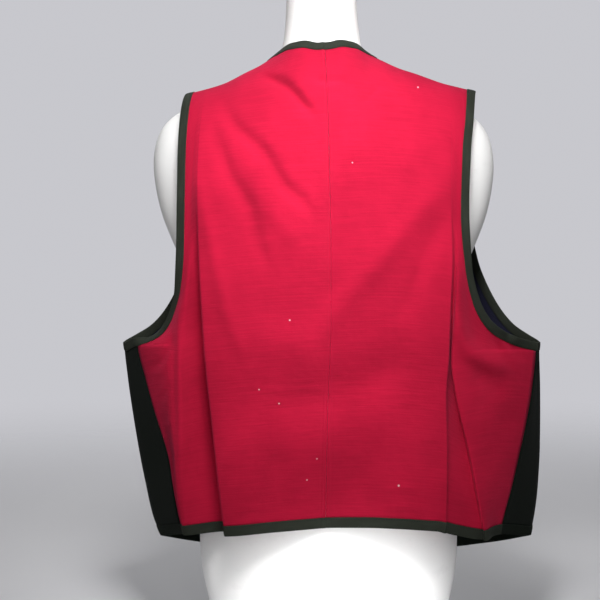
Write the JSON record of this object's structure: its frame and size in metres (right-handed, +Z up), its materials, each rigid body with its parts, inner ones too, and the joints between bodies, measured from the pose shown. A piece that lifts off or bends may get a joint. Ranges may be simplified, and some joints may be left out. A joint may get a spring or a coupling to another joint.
{
  "type": "folk vest on a dress form",
  "caption": "Sleeveless folk vest with a crimson cotton back, black fronts and braid-bound edges, worn by a white limbless dress form.",
  "frame": {"origin": "centre of the dress form's flat base", "axes": "+Z up, the wearer's front faces -Y, the wearer's left side is +X; the back of the vest faces +Y"},
  "size_m": [0.5483, 0.2438, 0.8353],
  "materials": {
    "crimson_cotton": "plain-weave cotton with a soft sheen",
    "black_wool": "dense matt wool",
    "dark_braid": "ribbed woven braid, charcoal green",
    "form_white": "smooth matt white",
    "cap_dark": "dark satin"
  },
  "bodies": {
    "root": {"back_left": "crimson_cotton", "back_right": "crimson_cotton", "front_left": "black_wool", "front_right": "black_wool", "binding_neck": "dark_braid", "binding_front_left": "dark_braid", "binding_front_right": "dark_braid", "binding_armhole_left": "dark_braid", "binding_armhole_right": "dark_braid", "binding_hem_back": "dark_braid", "binding_hem_left": "dark_braid", "binding_hem_right": "dark_braid", "dress_form": "form_white", "neck_cap": "cap_dark"}
  },
  "joints": []
}
